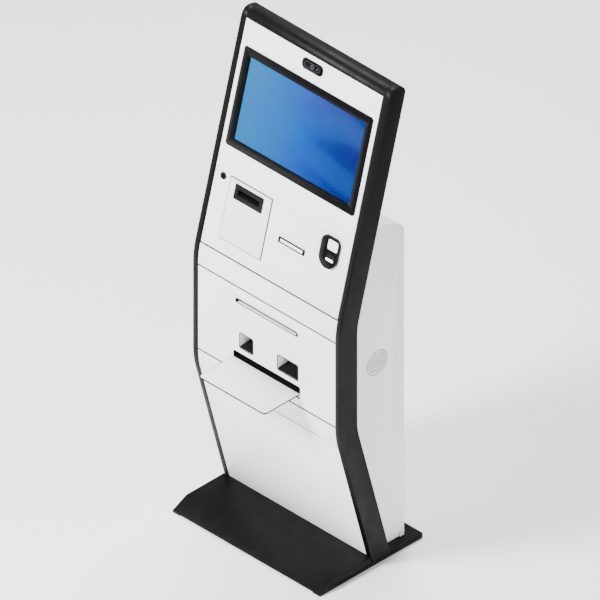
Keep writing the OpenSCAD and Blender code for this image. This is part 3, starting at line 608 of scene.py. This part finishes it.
for name, node in nodes.items():
    width = edgeRadius.get(name, usualRadius)
    if width > 0:
        roundEdges(node, width, roundingLook)
print("edges rounded")


# detail pieces

def roundRect(x, z, wide, high, radius, steps=6):
    points = []
    for corner, (sx, sz) in enumerate(((1, 1), (-1, 1), (-1, -1), (1, -1))):
        cx, cz = x + sx * (wide / 2 - radius), z + sz * (high / 2 - radius)
        for step in range(steps + 1):
            angle = math.radians(90 * corner + 90 * step / steps)
            points.append((cx + radius * math.cos(angle), cz + radius * math.sin(angle)))
    return points


def circle(x, z, radius, steps=32):
    return [(x + radius * math.cos(math.tau * i / steps), z + radius * math.sin(math.tau * i / steps))
            for i in range(steps)]


def addPrism(shape, outline, near, far):
    front = [shape.verts.new((x, near, z)) for x, z in outline]
    back = [shape.verts.new((x, far, z)) for x, z in outline]
    shape.faces.new(front)
    shape.faces.new(back[::-1])
    for i in range(len(outline)):
        j = (i + 1) % len(outline)
        shape.faces.new((front[i], back[i], back[j], front[j]))


def addRing(shape, outer, inner, near, far):
    loops = [[shape.verts.new((x, depth, z)) for x, z in outline]
             for outline, depth in ((outer, near), (outer, far), (inner, far), (inner, near))]
    count = len(outer)
    for k in range(4):
        first, second = loops[k], loops[(k + 1) % 4]
        for i in range(count):
            j = (i + 1) % count
            shape.faces.new((first[i], second[i], second[j], first[j]))


def addBlock(shape, low, high):
    addPrism(shape, [(low[0], low[2]), (high[0], low[2]), (high[0], high[2]), (low[0], high[2])],
        low[1], high[1])


# angles in degrees: edges sharper than sharp are rounded, sharper than crease are shaded hard
pieceLook = {"sharp": 35, "crease": 40, "segments": 2, "profile": 0.5}


def makePiece(name, body, slotName, shape, axes=upright, soft=0.0):
    # soft is the radius of the rounded edges
    bmesh.ops.recalc_face_normals(shape, faces=shape.faces)
    if soft > 0:
        sharp = [edge for edge in shape.edges if len(edge.link_faces) == 2
                 and edge.calc_face_angle(0) > math.radians(pieceLook["sharp"])]
        bmesh.ops.bevel(shape, geom=sharp, offset=soft, segments=pieceLook["segments"],
            profile=pieceLook["profile"], affect="EDGES", material=-1, clamp_overlap=True)
    data = bpy.data.meshes.new(name)
    shape.to_mesh(data)
    shape.free()
    data.transform(axes.to_4x4())
    data.shade_smooth()
    data.set_sharp_from_angle(angle=math.radians(pieceLook["crease"]))
    piece = bpy.data.objects.new(name, data)
    bpy.context.scene.collection.objects.link(piece)
    paint(piece, finishes[slotName])
    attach(piece, body)


doorFace = localBox("upper_fascia", lean)[0].y
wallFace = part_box("card_pocket")[0].y - 0.6 * mm


# black gasket round the banknote acceptor's plate, also painted shadow: its dark rim stands for the shadow gap
# round the plate

gasketShadowLook = {"rim": 3.0 * mm, "underPlate": 3.0 * mm, "corner": 3.2 * mm, "innerCorner": 1 * mm,
    "proud": 1.2 * mm, "sunk": 0.05 * mm}


def addPlateShadowGasket(look):
    low, high = localBox("acceptor_plate", lean)
    x, z = middleOf(low, high)
    wide, tall = high.x - low.x, high.z - low.z
    rim, under = 2 * look["rim"], 2 * look["underPlate"]
    shape = bmesh.new()
    addRing(shape, roundRect(x, z, wide + rim, tall + rim, look["corner"]),
        roundRect(x, z, wide - under, tall - under, look["innerCorner"]),
        doorFace - look["proud"], doorFace + look["sunk"])
    # the dark rim is a gasket and also the painted shadow of the gap round the plate
    makePiece("plateShadowGasket", "upper_door", "black_plastic", shape, lean, 0.0002)


addPlateShadowGasket(gasketShadowLook)


# guide ribs on the floor of the acceptor's mouth, counted across it

ribLook = {"count": 5, "pitch": 16 * mm, "width": 2.0 * mm, "top": -3.4 * mm, "foot": -6.2 * mm,
    "start": 2 * mm, "end": 16 * mm}


def addMouthRibs(look):
    x, z = middleOf(*localBox("acceptor_mouth", lean))
    shape = bmesh.new()
    for i in range(look["count"]):
        place = x + (i - (look["count"] - 1) / 2) * look["pitch"]
        addBlock(shape, (place - look["width"] / 2, doorFace + look["start"], z + look["foot"]),
            (place + look["width"] / 2, doorFace + look["end"], z + look["top"]))
    makePiece("mouthRibs", "upper_door", "black_plastic", shape, lean, 0.0002)


addMouthRibs(ribLook)


# frosted light guide round the card slit

cardGuideLook = {"wide": 90.4 * mm, "high": 8.4 * mm, "slitWide": 87 * mm, "slitHigh": 2.0 * mm,
    "corner": 0.9 * mm, "proud": 2.6 * mm, "sunk": 0.9 * mm}


def addCardGuide(look):
    x, z = middleOf(*localBox("card_bezel", lean))
    shape = bmesh.new()
    addRing(shape, roundRect(x, z, look["wide"], look["high"], look["corner"]),
        roundRect(x, z, look["slitWide"], look["slitHigh"], look["corner"]),
        doorFace - look["proud"], doorFace + look["sunk"])
    makePiece("cardGuide", "upper_door", "light_bar", shape, lean, 0.00015)


addCardGuide(cardGuideLook)


# camera window: an inner frame line, barrel rings, lens and sensor dot

windowLow, windowHigh = localBox("camera_window", lean)
windowFace = windowLow.y
windowX, windowZ = middleOf(windowLow, windowHigh)

frameLineLook = {"wide": 62 * mm, "high": 19 * mm, "corner": 9 * mm, "line": 0.8 * mm,
    "proud": 0.25 * mm, "sunk": 0.4 * mm}


def addWindowFrameLine(look):
    line = look["line"]
    shape = bmesh.new()
    addRing(shape, roundRect(windowX, windowZ, look["wide"], look["high"], look["corner"]),
        roundRect(windowX, windowZ, look["wide"] - 2 * line, look["high"] - 2 * line,
            look["corner"] - line), windowFace - look["proud"], windowFace + look["sunk"])
    makePiece("windowFrameLine", "upper_door", "dark_unit", shape, lean, 0.0001)


addWindowFrameLine(frameLineLook)

# the outer ring stands prouder than the inner one
barrelLook = {"outerRing": (7.0 * mm, 5.9 * mm), "outerProud": 0.5 * mm,
    "innerRing": (5.4 * mm, 4.2 * mm), "innerProud": 0.3 * mm, "sunk": 0.3 * mm}


def addLensBarrel(look):
    shape = bmesh.new()
    for ring, proud in ((look["outerRing"], look["outerProud"]), (look["innerRing"], look["innerProud"])):
        outer, inner = (circle(windowX, windowZ, radius) for radius in ring)
        addRing(shape, outer, inner, windowFace - proud, windowFace + look["sunk"])
    makePiece("lensBarrel", "upper_door", "dark_unit", shape, lean, 0.00015)


addLensBarrel(barrelLook)

lensLook = {"radius": 4.2 * mm, "bulge": 0.32, "sunk": 0.2 * mm, "turns": 32, "rows": 16}


def addCameraLens(look):
    shape = bmesh.new()
    bmesh.ops.create_uvsphere(shape, u_segments=look["turns"], v_segments=look["rows"],
        radius=look["radius"])
    bmesh.ops.scale(shape, vec=(1, look["bulge"], 1), verts=shape.verts)
    bmesh.ops.translate(shape, vec=(windowX, windowFace + look["sunk"], windowZ), verts=shape.verts)
    makePiece("cameraLens", "upper_door", "gloss_black", shape, lean, 0)


addCameraLens(lensLook)

sensorLook = {"aside": 20 * mm, "radius": 1.6 * mm, "sides": 20, "proud": 0.2 * mm, "sunk": 0.4 * mm}


def addSensorDot(look):
    shape = bmesh.new()
    addPrism(shape, circle(windowX + look["aside"], windowZ, look["radius"], look["sides"]),
        windowFace - look["proud"], windowFace + look["sunk"])
    makePiece("sensorDot", "upper_door", "grey_unit", shape, lean, 0.0001)


addSensorDot(sensorLook)


# painted shade: dark strips laid in the two pressed grooves of the middle panel, standing for the shade in the
# grooves

grooveShadeLook = {"rises": (0.555, 0.857), "halfHigh": 2.7 * mm, "sideGap": 0.4 * mm, "proud": 0.15 * mm,
    "sunk": 0.9 * mm}


def addGrooveShadeStrips(look):
    low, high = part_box("middle_fascia")
    shape = bmesh.new()
    for rise in look["rises"]:
        addBlock(shape, (low.x + look["sideGap"], wallFace - look["proud"], rise - look["halfHigh"]),
            (high.x - look["sideGap"], wallFace + look["sunk"], rise + look["halfHigh"]))
    # a black piece put where the grooves hold only shade: painted shade
    makePiece("grooveShadeStrips", "kiosk", "black_plastic", shape, soft=0.0002)


addGrooveShadeStrips(grooveShadeLook)


# edging round the card and receipt windows, which are the tops of their pockets

edgingLook = {"drop": 27.7 * mm, "spare": 0.5 * mm, "tall": 55.9 * mm, "outward": 0.8 * mm,
    "inward": 2.0 * mm, "corner": 6.7 * mm, "innerCorner": 4.6 * mm, "proud": 0.9 * mm,
    "sunk": 0.02 * mm}


def addPickupEdging(look):
    out, inside = 2 * look["outward"], 2 * look["inward"]
    shape = bmesh.new()
    for name in ("card_pocket", "receipt_pocket"):
        low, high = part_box(name)
        x, z = (low.x + high.x) / 2, high.z - look["drop"]
        wide, tall = high.x - low.x + look["spare"], look["tall"]
        addRing(shape, roundRect(x, z, wide + out, tall + out, look["corner"]),
            roundRect(x, z, wide - inside, tall - inside, look["innerCorner"]),
            wallFace - look["proud"], wallFace + look["sunk"])
    makePiece("pickupEdging", "kiosk", "black_plastic", shape, soft=0.0002)


addPickupEdging(edgingLook)


# ledge that guides a document into the long slot

guideLook = {"slotRise": 0.808, "below": 4.95 * mm, "high": 1.2 * mm, "sideGap": 9 * mm,
    "sunk": 0.3 * mm, "depth": 8.2 * mm}


def addDocumentGuide(look):
    low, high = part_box("document_bezel")
    foot = look["slotRise"] - look["below"]
    shape = bmesh.new()
    addBlock(shape, (low.x + look["sideGap"], low.y + look["sunk"], foot),
        (high.x - look["sideGap"], wallFace + look["depth"], foot + look["high"]))
    makePiece("documentGuide", "kiosk", "white_plastic", shape, soft=0.0003)


addDocumentGuide(guideLook)


# sheet tray: black strip on the part that runs in the slot, painted shade standing for the dark inside of the slot

traySlotShadeLook = {"inset": 1 * mm, "front": 1.0 * mm, "bed": 0.05 * mm, "proud": 0.9 * mm}


def addTraySlotShade(look):
    low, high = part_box("tray")
    shape = bmesh.new()
    addBlock(shape, (low.x + look["inset"], wallFace - look["front"], high.z - look["bed"]),
        (high.x - look["inset"], high.y - look["inset"], high.z + look["proud"]))
    # painted shade: the tray is made black where it runs into the slot
    makePiece("traySlotShade", "sheet_tray", "black_plastic", shape, soft=0.0003)


addTraySlotShade(traySlotShadeLook)


# edge guard round the tray's three free sides, open at the slot,
# and thinner along the sides, which run between the slot's walls

trayEdgeLook = {"front": 1.3 * mm, "side": 0.4 * mm, "overlap": 0.4 * mm, "topLip": 0.5 * mm,
    "underLip": 0.25 * mm, "corner": 13 * mm, "cornerSteps": 8, "startGap": 2 * mm}


def addTrayEdge(look):
    low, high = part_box("tray")
    corner, steps = look["corner"], look["cornerSteps"]
    start = wallFace - look["startGap"]
    path = [(low.x, start)]
    for turn, x in ((180, low.x + corner), (270, high.x - corner)):
        for step in range(steps + 1):
            angle = math.radians(turn + 90 * step / steps)
            path.append((x + corner * math.cos(angle), low.y + corner + corner * math.sin(angle)))
    path.append((high.x, start))
    foot, top = low.z - look["underLip"], high.z + look["topLip"]
    shape = bmesh.new()
    rings = []
    for i, (x, y) in enumerate(path):
        before, after = Vector(path[max(i - 1, 0)]), Vector(path[min(i + 1, len(path) - 1)])
        along = (after - before).normalized()
        outward = Vector((along.y, -along.x))
        facing = max(0.0, -outward.y)
        reach = look["side"] + (look["front"] - look["side"]) * facing
        near, far = Vector((x, y)) - outward * look["overlap"], Vector((x, y)) + outward * reach
        rings.append([shape.verts.new((place.x, place.y, rise))
            for place, rise in ((near, foot), (far, foot), (far, top), (near, top))])
    for first, second in zip(rings, rings[1:]):
        for i in range(4):
            shape.faces.new((first[i], first[(i + 1) % 4], second[(i + 1) % 4], second[i]))
    shape.faces.new(rings[0][::-1])
    shape.faces.new(rings[-1])
    makePiece("trayEdge", "sheet_tray", "black_plastic", shape, soft=0.0002)


addTrayEdge(trayEdgeLook)


# hex sockets in the heads of the flange screws

socketLook = {"radius": 2.0 * mm, "depth": 0.3 * mm, "outward": 1.25 * mm, "weld": 0.01 * mm}


def screwFaces(weld):
    # centre and outward direction of each screw, from its loose part of the node's mesh
    shape = bmesh.new()
    shape.from_mesh(nodes["cabinet_screws"].data)
    bmesh.ops.remove_doubles(shape, verts=shape.verts, dist=weld)
    left, found = set(shape.verts), []
    for start in shape.verts:
        if start not in left:
            continue
        left.remove(start)
        group, queue = [start], [start]
        while queue:
            for edge in queue.pop().link_edges:
                for vertex in edge.verts:
                    if vertex in left:
                        left.remove(vertex)
                        group.append(vertex)
                        queue.append(vertex)
        centre = sum((vertex.co for vertex in group), Vector()) / len(group)
        # the largest flat, and one that looks back before any other
        flat = max({face for vertex in group for face in vertex.link_faces},
            key=lambda face: face.calc_area() + (1 if face.normal.y > 0.5 else 0))
        found.append((centre, flat.normal.copy()))
    shape.free()
    return found


def addScrewSockets(look):
    shape = bmesh.new()
    for centre, outward in screwFaces(look["weld"]):
        made = bmesh.ops.create_cone(shape, cap_ends=True, segments=6, radius1=look["radius"],
            radius2=look["radius"], depth=look["depth"])
        turned = outward.to_track_quat("Z", "Y").to_matrix().to_4x4()
        spot = Matrix.Translation(centre + outward * look["outward"]) @ turned
        bmesh.ops.transform(shape, matrix=spot, verts=made["verts"])
    makePiece("screwSockets", "kiosk", "black_plastic", shape, soft=0)


addScrewSockets(socketLook)


# seal round the rear doorway, seen in the gap beside the door

sealLook = {"outward": 5.0 * mm, "inward": 0.8 * mm, "corner": 3 * mm, "innerCorner": 2 * mm,
    "front": 5 * mm, "back": 2.1 * mm}


def addDoorSeal(look):
    low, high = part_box("rear_door")
    x, z = middleOf(low, high)
    wide, tall = high.x - low.x, high.z - low.z
    out, inside = 2 * look["outward"], 2 * look["inward"]
    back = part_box("cabinet_shell")[1].y
    shape = bmesh.new()
    addRing(shape, roundRect(x, z, wide + out, tall + out, look["corner"]),
        roundRect(x, z, wide + inside, tall + inside, look["innerCorner"]),
        back - look["front"], back - look["back"])
    makePiece("doorSeal", "kiosk", "black_plastic", shape, soft=0.0003)


addDoorSeal(sealLook)


# three flat pins in the mains inlet

pinLook = {"places": ((-6.5 * mm, -1.5 * mm), (0, 2.5 * mm), (6.5 * mm, -1.5 * mm)),
    "halfWide": 1 * mm, "halfHigh": 2 * mm, "root": 16 * mm, "length": 9 * mm}


def addInletPins(look):
    low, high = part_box("power_inlet")
    x, z = middleOf(low, high)
    root = high.y - look["root"]
    shape = bmesh.new()
    for side, rise in look["places"]:
        addBlock(shape, (x + side - look["halfWide"], root, z + rise - look["halfHigh"]),
            (x + side + look["halfWide"], root + look["length"], z + rise + look["halfHigh"]))
    makePiece("inletPins", "kiosk", "bright_steel", shape, soft=0.0002)


addInletPins(pinLook)


# key lock in the rear handle: a bright rim, a barrel face and the keyway

pivot = Vector(joints["handle_turn"]["pos_m"])
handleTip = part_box("rear_handle")[1].y

lockLook = {"rim": (5.2 * mm, 4.4 * mm), "rimProud": 0.5 * mm, "barrel": 4.2 * mm,
    "barrelProud": 0.2 * mm, "sunk": 0.3 * mm}


def addHandleLock(look):
    outer, inner = (circle(pivot.x, pivot.z, radius) for radius in look["rim"])
    root = handleTip - look["sunk"]
    shape = bmesh.new()
    addRing(shape, outer, inner, root, handleTip + look["rimProud"])
    addPrism(shape, circle(pivot.x, pivot.z, look["barrel"]), root, handleTip + look["barrelProud"])
    makePiece("handleLock", "door_handle", "bright_steel", shape, soft=0.0001)


addHandleLock(lockLook)

keywayLook = {"halfWide": 0.5 * mm, "halfHigh": 2.4 * mm, "proud": 0.26 * mm}


def addHandleKeyway(look):
    shape = bmesh.new()
    addBlock(shape, (pivot.x - look["halfWide"], handleTip, pivot.z - look["halfHigh"]),
        (pivot.x + look["halfWide"], handleTip + look["proud"], pivot.z + look["halfHigh"]))
    makePiece("handleKeyway", "door_handle", "black_plastic", shape, soft=0)


addHandleKeyway(keywayLook)
print("detail pieces ready")


# floor

def addFloor(look):
    data = bpy.data.meshes.new("floor")
    shape = bmesh.new()
    bmesh.ops.create_grid(shape, x_segments=1, y_segments=1, size=look["floorHalf"])
    shape.to_mesh(data)
    shape.free()
    floor = bpy.data.objects.new("floor", data)
    bpy.context.scene.collection.objects.link(floor)
    material, tree, shader = newMaterial("floorPaint", Roughness=look["floorRough"])
    cloud = noiseAt(tree, objectPlace(tree), *look["floorCloud"])
    shade = [value * look["floorShade"] for value in look["floor"]]
    wire(tree, mixColour(tree, cloud, look["floor"], shade), shader.inputs["Base Color"])
    paint(floor, material)


addFloor(studio)
